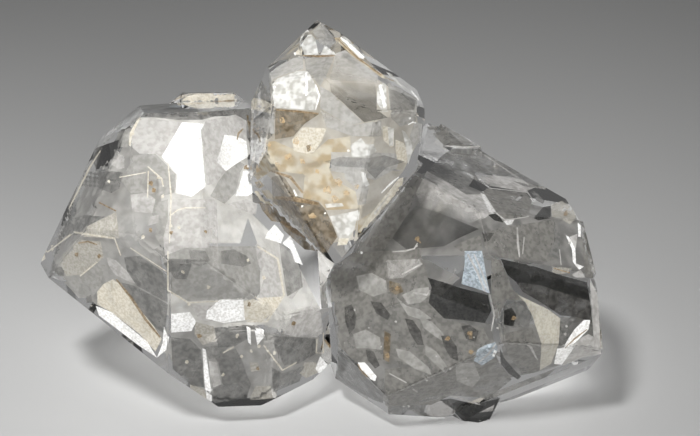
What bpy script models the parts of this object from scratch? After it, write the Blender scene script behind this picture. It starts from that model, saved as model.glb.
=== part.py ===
"""Herkimer diamond: three clear quartz crystals, each pointed at both ends, grown together in one piece.

Every crystal is a six-sided prism with a six-faced pyramid at each end. It is made the way a crystal is
described: a block cut back along each face at that face's own distance from the crystal's centre.
Metres, +Z up. The origin is on the surface that the specimen rests on, under the middle of its outline.
"""

import math

import bmesh
import bpy
from mathutils import Vector

MM = 0.001

# Quartz: a pyramid face's outward direction leans this far from the crystal's long axis.
PYRAMID_LEAN = math.radians(51.8)
FACES_ROUND = 6
ROUGH_BLOCK = 60.0 * MM

# Each crystal: its centre in mm; the way its long axis points (heading from +X, rise above level, and roll
# about itself, in degrees); and how far its prism faces and the faces of its two points usually grew from
# the centre, in mm. The head is the end that the axis points to. Faces that grew nearer or further are
# named, with their kind, their number round the axis and their distance. Growth faces are the odd ones
# that fit no quartz face: each is given by its heading, rise and distance.
LEFT = {
    "centre": (-8.5, 0.0, 8.75),
    "axis": (-172, 2, -135),
    "usual": {"prism": 9.0, "head": 6.25, "foot": 10.25},
    "named": {
        "underside": ("prism", 1, 8.75),
        "lower_front": ("prism", 2, 8.75),
        "upper_front": ("prism", 3, 10.0),
        "top_strip": ("prism", 4, 9.75),
        "back": ("prism", 5, 10.25),
        "left_under": ("head", 1, 6.0),
        "lower_left": ("head", 2, 8.0),
        "left_front": ("head", 3, 10.25),
        "left_top": ("head", 4, 9.5),
        "right_under": ("foot", 1, 10.6),
        "right_lower": ("foot", 2, 10.0),
        "right_front": ("foot", 3, 8.0),
    },
    "growth": {"left_shoulder": (-170, 28, 8.25), "lower_right": (-40, -55, 10.5)},
}
RIGHT = {
    "centre": (9.0, -1.0, 8.0),
    "axis": (105, 44, -128),
    "usual": {"prism": 8.0, "head": 6.75, "foot": 8.0},
    "named": {
        "left_side": ("prism", 2, 9.0),
        "upper_left": ("prism", 3, 8.25),
        "upper_right": ("prism", 4, 8.5),
        "right_side": ("prism", 5, 7.0),
        "left_top": ("head", 3, 9.75),
        "back_top": ("head", 5, 7.1),
        "right_under": ("foot", 0, 8.5),
        "lower_left": ("foot", 2, 10.0),
        "front": ("foot", 3, 8.75),
        "right_front": ("foot", 4, 9.75),
        "lower_right": ("foot", 5, 10.5),
    },
    "growth": {
        "fan_face": (-101, 11, 9.0),
        "band_face": (-62, 11, 9.25),
        "bottom_front": (-76, -37, 8.0),
        "undercut": (-60, -50, 8.2),
        "underside": (-127, -71, 9.0),
    },
}
TOP = {
    "centre": (1.0, -3.75, 18.5),
    "axis": (90, 48, -167),
    "usual": {"prism": 4.75, "head": 5.5, "foot": 5.25},
    "named": {
        "right_side": ("prism", 0, 4.25),
        "upper_band": ("prism", 4, 6.0),
        "upper_right": ("prism", 5, 6.6),
        "right_top": ("head", 5, 5.2),
        "front": ("foot", 4, 4.9),
        "right_front": ("foot", 5, 5.6),
    },
    "growth": {"slope": (-39, 66, 5.25), "right_shoulder": (29, 46, 5.0)},
}

# Buds: small crystals that stand out of the big ones as blocks and steps. All but the one in the notch
# grew in line with their host.
BUDS = {
    "tip_bud": {
        "centre": (0.1, -2.6, 23.6),
        "axis": TOP["axis"],
        "usual": {"prism": 1.4, "head": 1.1, "foot": 2.0},
    },
    "top_ledge": {
        "centre": (-7.8, 7.6, 16.6),
        "axis": LEFT["axis"],
        "usual": {"prism": 1.0, "head": 1.4, "foot": 1.8},
        "named": {"top": ("prism", 4, 0.7)},
    },
    "crown_step": {
        "centre": (8.3, 4.2, 14.1),
        "axis": RIGHT["axis"],
        "usual": {"prism": 2.0, "head": 1.5, "foot": 2.0},
    },
    "side_bud": {
        "centre": (12.8, -1.6, 8.9),
        "axis": RIGHT["axis"],
        "usual": {"prism": 4.0, "head": 4.0, "foot": 4.5},
        "named": {"near": ("prism", 0, 3.0), "near_under": ("prism", 1, 3.0)},
    },
    "under_bud": {
        "centre": (9.4, -3.4, 1.6),
        "axis": RIGHT["axis"],
        "usual": {"prism": 2.2, "head": 2.4, "foot": 2.4},
    },
    "front_bud": {
        "centre": (-5.2, -5.6, 5.6),
        "axis": LEFT["axis"],
        "usual": {"prism": 2.5, "head": 3.0, "foot": 3.0},
        "named": {
            "under": ("prism", 1, 3.6),
            "front": ("prism", 3, 3.7),
            "left_under": ("head", 1, 3.6),
            "left_front": ("head", 3, 3.4),
            "right_under": ("foot", 1, 3.6),
            "right_front": ("foot", 3, 3.4),
        },
    },
    "back_bud": {
        "centre": (-7.6, 8.8, 9.4),
        "axis": LEFT["axis"],
        "usual": {"prism": 2.4, "head": 2.8, "foot": 2.8},
    },
    "far_bud": {
        "centre": (11.2, 4.8, 8.6),
        "axis": RIGHT["axis"],
        "usual": {"prism": 2.2, "head": 2.0, "foot": 2.4},
    },
    "notch_crystal": {
        "centre": (1.2, 3.4, 7.2),
        "axis": (62, 24, 10),
        "usual": {"prism": 2.5, "head": 3.4, "foot": 3.2},
    },
}

# The worn flats that the specimen rests on lie in one plane, at z = 0.
FLOOR_CUT_DEPTH = 20.0 * MM


def clear_scene():
    for thing in list(bpy.data.objects):
        bpy.data.objects.remove(thing)


def new_collection(name):
    group = bpy.data.collections.new(name)
    bpy.context.scene.collection.children.link(group)
    return group


def direction(heading, rise):
    """The unit vector that points at a heading and a rise, both in degrees."""
    heading, rise = math.radians(heading), math.radians(rise)
    level = math.cos(rise)
    return Vector((level * math.cos(heading), level * math.sin(heading), math.sin(rise)))


def crystal_faces(crystal):
    """Every face of a crystal, as its outward direction and its distance from the centre in mm."""
    heading, rise, roll = crystal["axis"]
    axis = direction(heading, rise)
    side = Vector((0.0, 0.0, 1.0)).cross(axis).normalized()
    other_side = axis.cross(side)
    own = {(kind, number): distance for kind, number, distance in crystal.get("named", {}).values()}
    along = {"prism": 0.0, "head": math.cos(PYRAMID_LEAN), "foot": -math.cos(PYRAMID_LEAN)}
    faces = []
    for number in range(FACES_ROUND):
        turn = math.radians(roll + number * 360.0 / FACES_ROUND)
        outward = side * math.cos(turn) + other_side * math.sin(turn)
        for kind, usual in crystal["usual"].items():
            level = outward if kind == "prism" else outward * math.sin(PYRAMID_LEAN)
            faces.append((level + axis * along[kind], own.get((kind, number), usual)))
    for heading, rise, distance in crystal.get("growth", {}).values():
        faces.append((direction(heading, rise), distance))
    return faces


def cut_face(shape, centre, outward, distance):
    """Cut a solid back to one flat face and close the cut."""
    everything = shape.verts[:] + shape.edges[:] + shape.faces[:]
    cut = bmesh.ops.bisect_plane(
        shape,
        geom=everything,
        dist=1e-7,
        plane_co=centre + outward * distance,
        plane_no=outward,
        clear_outer=True,
    )
    rim = [part for part in cut["geom_cut"] if isinstance(part, bmesh.types.BMEdge)]
    if len(rim) > 2:
        bmesh.ops.contextual_create(shape, geom=rim)


def grow_crystal(name, crystal, group, material):
    """One crystal as its own closed solid."""
    shape = bmesh.new()
    bmesh.ops.create_cube(shape, size=ROUGH_BLOCK)
    centre = Vector(crystal["centre"]) * MM
    bmesh.ops.translate(shape, verts=shape.verts, vec=centre)
    for outward, distance in crystal_faces(crystal):
        cut_face(shape, centre, outward, distance * MM)
    bmesh.ops.remove_doubles(shape, verts=shape.verts, dist=0.02 * MM)
    bmesh.ops.recalc_face_normals(shape, faces=shape.faces)
    mesh = bpy.data.meshes.new(name)
    shape.to_mesh(mesh)
    shape.free()
    mesh.materials.append(material)
    thing = bpy.data.objects.new(name, mesh)
    group.objects.link(thing)
    return thing


def centre_over_origin(crystals):
    """Slide the crystals sideways until the middle of their outline is over the origin."""
    corners = [corner.co for crystal in crystals for corner in crystal.data.vertices]
    middle_x = (min(c.x for c in corners) + max(c.x for c in corners)) / 2
    middle_y = (min(c.y for c in corners) + max(c.y for c in corners)) / 2
    for crystal in crystals:
        crystal.location = (-middle_x, -middle_y, 0.0)


def quartz_material():
    material = bpy.data.materials.new("clear_quartz")
    material.use_nodes = True
    shader = material.node_tree.nodes["Principled BSDF"]
    shader.inputs["Base Color"].default_value = (0.93, 0.93, 0.90, 1.0)
    shader.inputs["Roughness"].default_value = 0.03
    shader.inputs["IOR"].default_value = 1.544
    shader.inputs["Transmission Weight"].default_value = 1.0
    return material


def as_cutter(thing):
    thing.hide_render = True
    thing.display_type = "WIRE"


clear_scene()
specimen = new_collection("herkimer_diamond")
cutters = new_collection("cutters")
growths = bpy.data.collections.new("growths")
cutters.children.link(growths)
quartz = quartz_material()

cluster = grow_crystal("crystal_cluster", LEFT, specimen, quartz)
for name, crystal in {"right_crystal": RIGHT, "top_crystal": TOP, **BUDS}.items():
    as_cutter(grow_crystal(name, crystal, growths, quartz))
centre_over_origin([cluster, *growths.objects])

join = cluster.modifiers.new("grown_together", "BOOLEAN")
join.operation = "UNION"
join.operand_type = "COLLECTION"
join.collection = growths
join.solver = "EXACT"

bpy.ops.mesh.primitive_cube_add(size=1.0, location=(0.0, 0.0, -FLOOR_CUT_DEPTH / 2))
floor_cutter = bpy.context.object
floor_cutter.name = "resting_plane"
floor_cutter.scale = (0.1, 0.1, FLOOR_CUT_DEPTH)
for owner in floor_cutter.users_collection:
    owner.objects.unlink(floor_cutter)
cutters.objects.link(floor_cutter)
as_cutter(floor_cutter)

rest = cluster.modifiers.new("resting_flats", "BOOLEAN")
rest.operation = "DIFFERENCE"
rest.object = floor_cutter
rest.solver = "EXACT"
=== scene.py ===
"""A herkimer diamond: three clear quartz crystals grown together, with stain, cracks and veils inside."""

import math
import random

import bmesh
import bpy
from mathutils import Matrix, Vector
from mathutils.bvhtree import BVHTree


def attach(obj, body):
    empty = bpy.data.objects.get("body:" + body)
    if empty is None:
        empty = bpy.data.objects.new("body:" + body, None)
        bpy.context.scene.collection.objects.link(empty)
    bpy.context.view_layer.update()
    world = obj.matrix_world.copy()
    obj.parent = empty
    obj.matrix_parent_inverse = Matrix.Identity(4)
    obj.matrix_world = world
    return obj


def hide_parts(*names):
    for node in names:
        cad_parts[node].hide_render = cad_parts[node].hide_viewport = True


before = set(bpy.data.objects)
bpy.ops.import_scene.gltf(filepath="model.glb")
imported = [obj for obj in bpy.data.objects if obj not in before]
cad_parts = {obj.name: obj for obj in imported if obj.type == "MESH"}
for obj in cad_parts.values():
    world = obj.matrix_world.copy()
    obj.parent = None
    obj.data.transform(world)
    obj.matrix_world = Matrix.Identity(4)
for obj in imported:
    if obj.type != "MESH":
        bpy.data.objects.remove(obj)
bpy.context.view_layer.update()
MM = 0.001


# The paper. The specimen stands on a wide sheet of plain pale paper, which runs far past the picture so
# that low views see it to its far edge.
PAPER_SIZE = 6.0
PAPER_GREY = (0.55, 0.55, 0.545, 1.0)


def own_material(name):
    """A new node material and its Principled shader."""
    material = bpy.data.materials.new(name)
    material.use_nodes = True
    return material, material.node_tree.nodes["Principled BSDF"]


def new_object(name, shape, material):
    """A finished piece from a bmesh, with its place in its mesh."""
    mesh = bpy.data.meshes.new(name)
    shape.to_mesh(mesh)
    shape.free()
    mesh.materials.append(material)
    thing = bpy.data.objects.new(name, mesh)
    bpy.context.scene.collection.objects.link(thing)
    return thing


paper_material, paper_shader = own_material("plain_paper")
paper_shader.inputs["Base Color"].default_value = PAPER_GREY
paper_shader.inputs["Roughness"].default_value = 0.9
paper_shape = bmesh.new()
bmesh.ops.create_grid(paper_shape, x_segments=1, y_segments=1, size=PAPER_SIZE / 2)
paper = new_object("paper", paper_shape, paper_material)


# The camera. It looks at the specimen from in front and 22 degrees above, close by, as the photograph does.
CAMERA_RISE = math.radians(22)
CAMERA_DISTANCE = 140.0 * MM
CAMERA_TARGET = Vector((2.1, -0.55, 11.5)) * MM
LENS = 113.0

across = Vector((1.0, 0.0, 0.0))
away = Vector((0.0, math.cos(CAMERA_RISE), -math.sin(CAMERA_RISE)))
upward = across.cross(away)
camera_place = CAMERA_TARGET - away * CAMERA_DISTANCE
lens = bpy.data.cameras.new("camera")
lens.lens = LENS
lens.clip_start = 0.01
lens.clip_end = 20.0
camera = bpy.data.objects.new("camera", lens)
camera.location = camera_place
camera.rotation_euler = away.to_track_quat("-Z", "Y").to_euler()
bpy.context.scene.collection.objects.link(camera)
bpy.context.scene.camera = camera
bpy.context.scene.view_settings.view_transform = "Standard"


# The light. One soft lamp hangs close over the camera's left shoulder, so the paper falls off to grey
# behind the specimen. A low fill, which makes no glints, and a faint pale room lighten the undersides.
KEY_PLACE = Vector((-42.0, -122.0, 166.0)) * MM
KEY_AIM = Vector((-12.0, 12.0, 0.0)) * MM
KEY_SIZE = 30.0 * MM
KEY_SPREAD = math.radians(58)
KEY_POWER = 0.040
FILL_PLACE = Vector((25.0, -150.0, 35.0)) * MM
FILL_AIM = Vector((0.0, 0.0, 8.0)) * MM
FILL_SIZE = 80.0 * MM
FILL_SPREAD = math.radians(60)
FILL_POWER = 0.030
ROOM_FILL_GREY = 0.05
ROOM_GLINT_GREY = 0.26
ROOM_SEEN_GREY = 0.40


def hang_lamp(name, place, aim, size, spread, power):
    """A round soft lamp."""
    light = bpy.data.lights.new(name, "AREA")
    light.shape = "DISK"
    light.size = size
    light.energy = power
    light.spread = spread
    lamp = bpy.data.objects.new(name, light)
    lamp.location = place
    lamp.rotation_euler = (aim - place).to_track_quat("-Z", "Y").to_euler()
    bpy.context.scene.collection.objects.link(lamp)
    return lamp


hang_lamp("key", KEY_PLACE, KEY_AIM, KEY_SIZE, KEY_SPREAD, KEY_POWER)
fill = hang_lamp("fill", FILL_PLACE, FILL_AIM, FILL_SIZE, FILL_SPREAD, FILL_POWER)
fill.visible_glossy = False
fill.visible_transmission = False

room = bpy.data.worlds.new("room")
room.use_nodes = True
bpy.context.scene.world = room
room_tree = room.node_tree
room_tree.nodes.remove(room_tree.nodes["Background"])
room_rays = room_tree.nodes.new("ShaderNodeLightPath")


def room_wall(grey):
    """One plain grey of the room."""
    wall = room_tree.nodes.new("ShaderNodeBackground")
    wall.inputs["Color"].default_value = (grey, grey, grey, 1.0)
    return wall.outputs["Background"]


def room_by_ray(ray, usual, this_ray):
    """The room with another grey for one kind of ray."""
    mix = room_tree.nodes.new("ShaderNodeMixShader")
    room_tree.links.new(room_rays.outputs[ray], mix.inputs["Fac"])
    room_tree.links.new(usual, mix.inputs[1])
    room_tree.links.new(this_ray, mix.inputs[2])
    return mix.outputs["Shader"]


room_look = room_by_ray("Is Diffuse Ray", room_wall(ROOM_GLINT_GREY), room_wall(ROOM_FILL_GREY))
room_look = room_by_ray("Is Camera Ray", room_look, room_wall(ROOM_SEEN_GREY))
room_tree.links.new(room_look, room_tree.nodes["World Output"].inputs["Surface"])


# The crystals. All three are one piece of clear quartz with flat natural faces and sharp edges. Every edge
# carries a hairline of wear that catches the light.
EDGE_WEAR = 0.05 * MM
SAME_FACE = math.radians(0.5)
SHARP_EDGE = math.radians(6)
QUARTZ_IOR = 1.544
SHADOW_GREY = 0.08

quartz_material, quartz = own_material("clear_quartz")
quartz.inputs["Base Color"].default_value = (1.0, 1.0, 1.0, 1.0)
quartz.inputs["Roughness"].default_value = 0.0
quartz.inputs["IOR"].default_value = QUARTZ_IOR
quartz.inputs["Transmission Weight"].default_value = 1.0


def lets_lamp_light_through(material, shader, shadow_grey):
    """Shadow rays pass, so what lies inside is fully lit and the paper behind gets a soft grey shadow."""
    tree = material.node_tree
    rays = tree.nodes.new("ShaderNodeLightPath")
    side = tree.nodes.new("ShaderNodeNewGeometry")
    tint = tree.nodes.new("ShaderNodeMapRange")
    tint.inputs["To Min"].default_value = shadow_grey
    clear = tree.nodes.new("ShaderNodeBsdfTransparent")
    mix = tree.nodes.new("ShaderNodeMixShader")
    tree.links.new(side.outputs["Backfacing"], tint.inputs["Value"])
    tree.links.new(tint.outputs["Result"], clear.inputs["Color"])
    tree.links.new(rays.outputs["Is Shadow Ray"], mix.inputs["Fac"])
    tree.links.new(shader.outputs["BSDF"], mix.inputs[1])
    tree.links.new(clear.outputs["BSDF"], mix.inputs[2])
    tree.links.new(mix.outputs["Shader"], tree.nodes["Material Output"].inputs["Surface"])


lets_lamp_light_through(quartz_material, quartz, SHADOW_GREY)

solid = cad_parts["crystal_cluster"]
body = bmesh.new()
body.from_mesh(solid.data)
bmesh.ops.remove_doubles(body, verts=body.verts, dist=0.005 * MM)
bmesh.ops.dissolve_limit(body, angle_limit=SAME_FACE, verts=body.verts, edges=body.edges)
skin = BVHTree.FromBMesh(body)
sharp = [edge for edge in body.edges if len(edge.link_faces) == 2 and edge.calc_face_angle() > SHARP_EDGE]
bmesh.ops.bevel(
    body,
    geom=sharp,
    offset=EDGE_WEAR,
    segments=1,
    profile=0.5,
    affect="EDGES",
    clamp_overlap=True,
    material=-1,
)
crystals = new_object("quartz_crystals", body, quartz_material)
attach(crystals, "root")
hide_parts("crystal_cluster")


# The bright patches in the left crystal are mostly painted highlights: reflections of the lamp and the pale
# paper on its faces, and glints, laid as white sheets just under the skin. Each is a thin sheet. Its outline
# is in mm across and up as the camera sees it, and its depth in mm under the skin.
SHEET_GRAIN = 0.3 * MM
MOST_SPLITS = 8
STRETCHED = 3.0
PULL_IN = 0.04
FURTHEST_PULL = 1.1
START_INSIDE = 0.01
WIDEST_RIM = 1.0
LAMP_WAY = KEY_PLACE.normalized()
FILL_WAY = FILL_PLACE.normalized()
FACES_LAMP = 0.12
MASK_FROM = 0.37
MASK_TO = 0.63
PATCH_SCALE = 1100.0
FINE_GRAIN = 7000.0
HIGHLIGHT_DEPTH = 0.25
# Painted highlights and reflections on the left crystal's faces, and glints.
LEFT_PAINTED_HIGHLIGHTS = {
    "upper_front": [(-10.7, 6.1), (-9.3, 6.0), (-9.5, 5.6), (-9.2, 2.0), (-10.1, 1.35), (-11.1, 1.6),
                    (-11.0, 2.8), (-12.0, 3.9)],
    "upper_right": [(-8.0, 5.3), (-7.2, 5.2), (-6.6, 4.9), (-6.5, 3.9), (-7.2, 3.5), (-7.9, 3.0),
                    (-8.5, 3.6, 0.3), (-8.3, 4.2, 0.5)],
    "right_window": [(-6.8, 3.0), (-6.4, 3.0), (-6.2, 1.6), (-6.5, 1.4), (-7.3, 1.4), (-7.0, 2.3)],
    "bevel": [(-16.2, -5.6), (-15.2, -6.0), (-12.9, -7.9), (-12.3, -8.9), (-13.5, -8.1), (-16.0, -6.2)],
    "seam": [(-11.85, -6.9), (-11.6, -7.6), (-11.7, -8.4), (-12.3, -8.9), (-11.95, -8.0)],
    "octagon_foot": [(-8.3, -5.2), (-6.8, -5.2), (-6.7, -6.5), (-8.0, -6.7), (-9.2, -6.4), (-9.1, -5.9)],
    "left_of_foot": [(-11.4, -6.1), (-10.2, -6.0), (-9.8, -6.6), (-10.1, -7.2), (-11.4, -7.3)],
    "glint_a": [(-6.6, -6.9), (-6.35, -7.0), (-6.3, -8.1), (-6.5, -7.9)],
    "glint_b": [(-6.1, -7.0), (-5.5, -7.1), (-5.5, -7.6), (-5.9, -8.1)],
    "low_edge": [(-9.4, -8.3), (-9.2, -8.4), (-9.0, -9.9), (-8.8, -11.3), (-8.8, -11.9), (-9.1, -11.8),
                 (-9.3, -10.2)],
    "right_tip": [(-1.9, -8.8), (-1.3, -9.5), (-2.0, -9.9), (-2.2, -9.6)],
    "notch_a": [(-4.8, -0.4), (-4.2, -1.1), (-4.4, -1.6), (-5.4, -1.3), (-5.3, -1.0)],
    "notch_b": [(-4.3, -1.6), (-3.8, -1.1), (-3.3, -2.3), (-3.0, -3.0), (-3.5, -2.8), (-3.8, -2.0)],
}


def mottle_group():
    """Shared effect: soft patches and fine grain, each as a mask from 0 to 1."""
    group = bpy.data.node_groups.new("mottle", "ShaderNodeTree")
    group.interface.new_socket("Patch Scale", in_out="INPUT", socket_type="NodeSocketFloat")
    group.interface.new_socket("Grain Scale", in_out="INPUT", socket_type="NodeSocketFloat")
    group.interface.new_socket("Patches", in_out="OUTPUT", socket_type="NodeSocketFloat")
    group.interface.new_socket("Grain", in_out="OUTPUT", socket_type="NodeSocketFloat")
    given = group.nodes.new("NodeGroupInput")
    result = group.nodes.new("NodeGroupOutput")
    place = group.nodes.new("ShaderNodeTexCoord")
    for size, mask, detail in (("Patch Scale", "Patches", 3.0), ("Grain Scale", "Grain", 1.0)):
        noise = group.nodes.new("ShaderNodeTexNoise")
        noise.inputs["Detail"].default_value = detail
        spread = group.nodes.new("ShaderNodeMapRange")
        spread.interpolation_type = "SMOOTHSTEP"
        spread.inputs["From Min"].default_value = MASK_FROM
        spread.inputs["From Max"].default_value = MASK_TO
        group.links.new(place.outputs["Object"], noise.inputs["Vector"])
        group.links.new(given.outputs[size], noise.inputs["Scale"])
        group.links.new(noise.outputs["Fac"], spread.inputs["Value"])
        group.links.new(spread.outputs["Result"], result.inputs[mask])
    return group


mottle = mottle_group()


def sheet_material(name, light, shade, patchy, patch_scale=PATCH_SCALE, grain_scale=FINE_GRAIN):
    """A thin sheet in two grainy tones, for inclusions and for painted highlights, reflections and shade, broken
    by clear patches as far as it is patchy. It scatters light evenly, so however it leans it is lit as if it
    faced the key lamp, or low down the fill."""
    material, shader = own_material(name)
    tree = material.node_tree
    pattern = tree.nodes.new("ShaderNodeGroup")
    pattern.node_tree = mottle
    pattern.inputs["Patch Scale"].default_value = patch_scale
    pattern.inputs["Grain Scale"].default_value = grain_scale
    tones = tree.nodes.new("ShaderNodeMix")
    tones.data_type = "RGBA"
    tones.inputs["A"].default_value = (*light, 1.0)
    tones.inputs["B"].default_value = (*shade, 1.0)
    thin = tree.nodes.new("ShaderNodeMapRange")
    thin.inputs["To Min"].default_value = 1.0
    thin.inputs["To Max"].default_value = 1.0 - patchy
    cover = tree.nodes.new("ShaderNodeAttribute")
    cover.attribute_name = "cover"
    both = tree.nodes.new("ShaderNodeMath")
    both.operation = "MULTIPLY"
    low = tree.nodes.new("ShaderNodeAttribute")
    low.attribute_name = "low"
    to_lamp = tree.nodes.new("ShaderNodeMix")
    to_lamp.data_type = "VECTOR"
    to_lamp.inputs["A"].default_value = LAMP_WAY
    to_lamp.inputs["B"].default_value = FILL_WAY
    tree.links.new(low.outputs["Fac"], to_lamp.inputs["Factor"])
    tree.links.new(to_lamp.outputs["Result"], shader.inputs["Normal"])
    tree.links.new(pattern.outputs["Grain"], tones.inputs["Factor"])
    tree.links.new(tones.outputs["Result"], shader.inputs["Base Color"])
    tree.links.new(pattern.outputs["Patches"], thin.inputs["Value"])
    tree.links.new(thin.outputs["Result"], both.inputs[0])
    tree.links.new(cover.outputs["Fac"], both.inputs[1])
    tree.links.new(both.outputs["Value"], shader.inputs["Alpha"])
    shader.inputs["Roughness"].default_value = 0.8
    shader.inputs["IOR"].default_value = 1.05
    shader.inputs["Transmission Weight"].default_value = 0.15
    return material


def way_inside(sight, outward):
    """The way that a sight line goes on inside the quartz."""
    ratio = 1.0 / QUARTZ_IOR
    slope = -sight.dot(outward)
    return ratio * sight + (ratio * slope - math.sqrt(1.0 - ratio**2 * (1.0 - slope**2))) * outward


def sunk(spot, middle, depth):
    """The point that looks to be at a spot of the camera's picture, and lies at a depth inside the quartz.
    It comes with 1 where the face over it leans away from the key lamp, else 0."""
    hit, step = None, 0
    while hit is None:
        sight = (spot.lerp(middle, step * PULL_IN) - camera_place).normalized()
        hit, outward, face, reach = skin.ray_cast(camera_place, sight)
        step += 1
        if step * PULL_IN > FURTHEST_PULL:
            raise ValueError("a sheet lies off the crystals: " + str((middle - CAMERA_TARGET) / MM))
    inward = way_inside(sight, outward)
    far = skin.ray_cast(hit + inward * START_INSIDE * MM, inward)[3] or 0.0
    return hit + inward * min(depth * MM, far / 2), float(outward.dot(LAMP_WAY) < FACES_LAMP)


def sheet_under_skin(outline, depth, soft):
    """One thin sheet, finely divided so that it follows the skin. A corner's third number is its cover."""
    sheet = bmesh.new()
    cover = sheet.verts.layers.float.new("cover")
    corners = [sheet.verts.new(CAMERA_TARGET + (across * c[0] + upward * c[1]) * MM) for c in outline]
    middle = sum((vert.co for vert in corners), Vector()) / len(corners)
    face = sheet.faces.new(corners)
    rim = min(soft * MM, WIDEST_RIM * face.calc_area() / face.calc_perimeter())
    bmesh.ops.inset_region(sheet, faces=[face], thickness=rim, use_even_offset=True)
    for vert, corner in zip(face.verts, outline):
        vert[cover] = corner[2] if len(corner) > 2 else 1.0
    for split in range(MOST_SPLITS):
        bmesh.ops.triangulate(sheet, faces=sheet.faces)
        long = [edge for edge in sheet.edges if edge.calc_length() > SHEET_GRAIN]
        if not long:
            break
        bmesh.ops.subdivide_edges(sheet, edges=long, cuts=1)
    low = sheet.verts.layers.float.new("low")
    for vert in sheet.verts:
        vert.co, vert[low] = sunk(vert.co, middle, depth)
    bridges = [edge for edge in sheet.edges if edge.calc_length() > STRETCHED * SHEET_GRAIN]
    bmesh.ops.delete(sheet, geom=bridges, context="EDGES")
    return sheet


def add_sheets(name, material, outlines, depth, soft):
    """A group of like sheets as one piece inside the quartz."""
    group = bmesh.new()
    for outline in outlines:
        sheet = sheet_under_skin(outline, depth, soft)
        mesh = bpy.data.meshes.new(name)
        sheet.to_mesh(mesh)
        sheet.free()
        group.from_mesh(mesh)
        bpy.data.meshes.remove(mesh)
    piece = new_object(name, group, material)
    piece.visible_shadow = False
    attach(piece, "root")


# White sheets that paint highlights, reflections and glints; they also make the top crystal's bright threads.
frost_and_painted_highlights = sheet_material("frost_and_painted_highlights", (0.86, 0.86, 0.85), (0.60, 0.59, 0.57), patchy=0.15)
add_sheets("left_painted_highlights", frost_and_painted_highlights, LEFT_PAINTED_HIGHLIGHTS.values(), HIGHLIGHT_DEPTH, soft=0.12)


# The thinner veils of the left crystal. They are pale grey or cream, and the crystal shows through them.
# Many also paint the light that its faces catch from the lamp and the paper, as on the pale upper left face
# and the bright lower front of the block.
PALE_DEPTH = 0.4
CREAM_DEPTH = 0.35
GREY_DEPTH = 0.55
FILM_GRAIN = 3500.0
LEFT_PALE = {
    "upper_left": [(-13.2, 6.4), (-10.7, 6.1), (-12.0, 3.9), (-12.4, 4.1), (-13.4, 4.1), (-14.0, 4.6),
                   (-13.9, 5.5)],
    "upper_right": [(-9.4, 5.6), (-9.2, 6.2), (-7.3, 6.6), (-6.6, 6.2), (-6.5, 3.9), (-7.0, 3.6), (-8.0, 2.9),
                    (-8.6, 2.2), (-9.1, 2.1)],
    "middle_left": [(-14.0, 1.5), (-13.0, 1.6), (-12.4, 1.2), (-12.6, 0.3), (-13.9, 0.4)],
    "middle": [(-11.3, 1.2), (-8.6, 1.2), (-8.5, 0.2), (-9.0, -1.9), (-10.5, -1.9), (-11.8, -2.4),
               (-11.9, -1.3)],
    "stripe": [(-8.9, 1.2), (-8.5, 1.2), (-8.3, -3.4, 0.2), (-8.7, -3.4, 0.2)],
    "octagon_right": [(-6.0, -1.6), (-4.7, -2.3), (-4.2, -4.9), (-5.3, -6.5), (-5.9, -5.2), (-5.5, -3.9),
                      (-5.9, -2.8)],
    "octagon_left": [(-10.2, -5.5), (-8.4, -5.6), (-8.3, -6.6), (-9.6, -6.5)],
    "block_sliver": [(-15.5, -2.5), (-14.9, -2.7), (-13.8, -3.8), (-13.6, -4.2), (-14.2, -4.0),
                     (-15.0, -3.6), (-15.4, -3.0)],
    "low_cloud": [(-11.1, -9.0), (-10.5, -9.1), (-10.4, -9.7), (-10.9, -9.9)],
    "low_right": [(-9.0, -9.1), (-8.5, -9.2), (-8.2, -10.6), (-8.7, -10.8), (-8.9, -10.0)],
    "right_face": [(-4.2, -7.4), (-3.7, -6.2), (-2.6, -5.6), (-1.9, -5.8), (-1.7, -7.2), (-2.1, -7.6),
                   (-3.5, -7.55)],
    "right_streak": [(-3.9, -5.1), (-3.7, -5.2), (-2.8, -4.0), (-3.0, -3.8)],
    "seam_right": [(-6.0, 0.2), (-6.9, 0.5), (-7.9, 0.9), (-6.6, 1.2), (-5.9, 0.9)],
    "under_foot": [(-9.4, -7.3), (-8.6, -7.3), (-8.5, -7.9), (-9.3, -8.0)],
    "patch": [(-15.2, 4.3), (-14.9, 4.4, 0.4), (-14.4, 3.9, 0.4), (-14.4, 3.2), (-14.8, 3.1), (-15.3, 3.5)],
    "corner": [(-12.7, 0.1), (-12.2, 0.2), (-12.2, -0.3), (-12.9, -0.5)],
}
LEFT_TAN = {
    "left_triangle": [(-14.9, 0.4), (-14.7, -1.3), (-17.0, -1.2), (-16.7, -0.5), (-15.9, -0.1)],
    "tan_foot": [(-9.9, -6.6), (-8.7, -6.9), (-8.5, -7.8), (-9.4, -8.1), (-9.9, -7.4)],
    "tan_low": [(-10.2, -10.6), (-9.3, -10.9), (-9.0, -11.8), (-9.6, -11.6), (-10.2, -11.0)],
    "tan_right": [(-6.0, -10.7), (-5.1, -10.7), (-4.9, -11.5), (-6.4, -11.6), (-6.3, -11.3)],
    "tan_mid": [(-6.4, -9.2), (-5.9, -9.2), (-5.7, -9.7), (-6.3, -9.8)],
    "right_foot": [(-2.9, -9.2), (-2.2, -9.2), (-1.9, -9.8), (-2.8, -10.2), (-3.2, -9.9)],
    "block_tan": [(-18.3, -2.3), (-17.2, -1.4), (-15.9, -1.5), (-15.7, -2.5), (-17.0, -3.6),
                  (-18.1, -3.7), (-18.4, -3.0)],
}
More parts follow.
